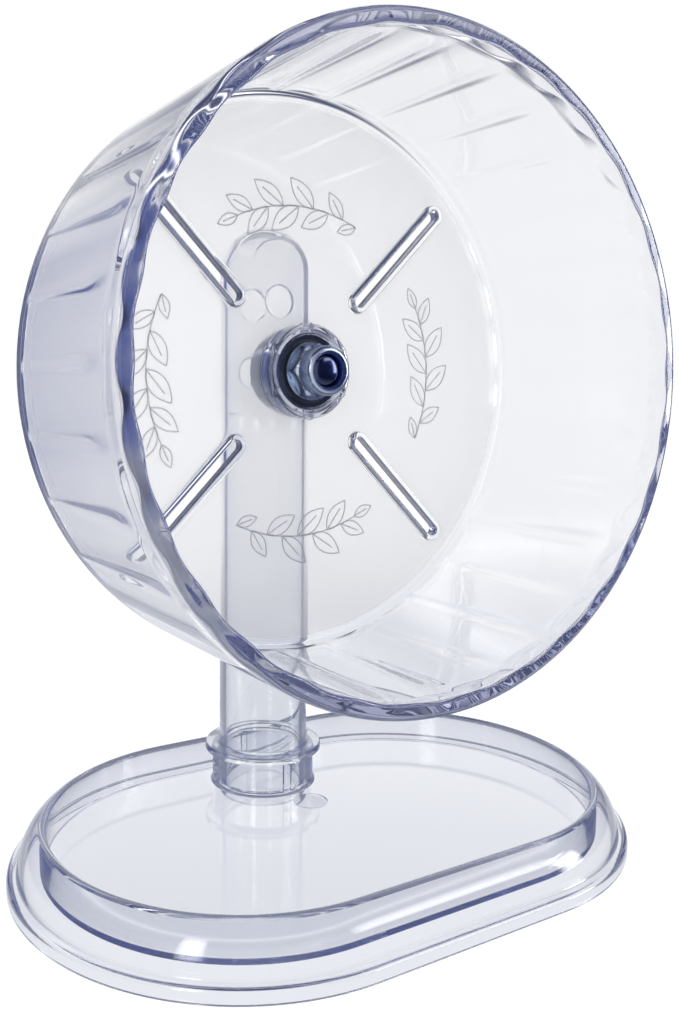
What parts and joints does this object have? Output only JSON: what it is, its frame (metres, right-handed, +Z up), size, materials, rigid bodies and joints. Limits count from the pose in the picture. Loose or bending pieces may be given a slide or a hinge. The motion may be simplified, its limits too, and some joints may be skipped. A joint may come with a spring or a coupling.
{
  "type": "hamster wheel",
  "caption": "Clear running wheel for a small pet: an open drum with tread ridges and vent slots, on ball bearings, on a domed post that plugs into a stadium-shaped tray.",
  "frame": {"origin": "on the floor, under the middle of the base tray", "axes": "+Z up, -Y out of the open front of the wheel, X along the tray's length"},
  "size_m": [0.224, 0.154, 0.2705],
  "materials": {
    "clear_plastic": "clear polished moulding with a faint blue tint",
    "zinc_steel": "blue-grey zinc plate",
    "bearing_steel": "ground bearing steel",
    "brass_cage": "pressed cage",
    "seal_rubber": "black seal",
    "navy_nylon": "dark blue locking ring"
  },
  "bodies": {
    "tray": {"base_tray": "clear_plastic"},
    "post": {"post": "clear_plastic", "axle_bolt": "zinc_steel", "post_washer": "zinc_steel", "rear_spacer": "bearing_steel", "bearing_spacer": "bearing_steel", "front_washer": "zinc_steel", "lock_nut": "zinc_steel", "nylon_insert": "navy_nylon", "front_bearing_inner_race": "bearing_steel", "rear_bearing_inner_race": "bearing_steel"},
    "wheel": {"wheel_drum": "clear_plastic", "hub_ring": "clear_plastic", "front_bearing_outer_race": "bearing_steel", "front_bearing_seals": "seal_rubber", "rear_bearing_outer_race": "bearing_steel", "rear_bearing_seals": "seal_rubber"},
    "front_ball_set": {"front_bearing_balls": "bearing_steel", "front_bearing_cage": "brass_cage"},
    "rear_ball_set": {"rear_bearing_balls": "bearing_steel", "rear_bearing_cage": "brass_cage"}
  },
  "joints": [
    {"name": "post_lift", "type": "slide", "parent": "tray", "child": "post", "axis": [0, 0, 1], "range_m": [0, 0.0115]},
    {"name": "wheel_spin", "type": "hinge", "parent": "post", "child": "wheel", "pos_m": [0, 0.0224, 0.1655], "axis": [0, 1, 0], "continuous": true},
    {"name": "front_ball_roll", "type": "hinge", "parent": "post", "child": "front_ball_set", "pos_m": [0, 0.0174, 0.1655], "axis": [0, 1, 0], "continuous": true},
    {"name": "rear_ball_roll", "type": "hinge", "parent": "post", "child": "rear_ball_set", "pos_m": [0, 0.0275, 0.1655], "axis": [0, 1, 0], "continuous": true}
  ],
  "couplings": [
    {"joint": "front_ball_roll", "follows": "wheel_spin", "ratio": 0.619},
    {"joint": "rear_ball_roll", "follows": "wheel_spin", "ratio": 0.619}
  ]
}
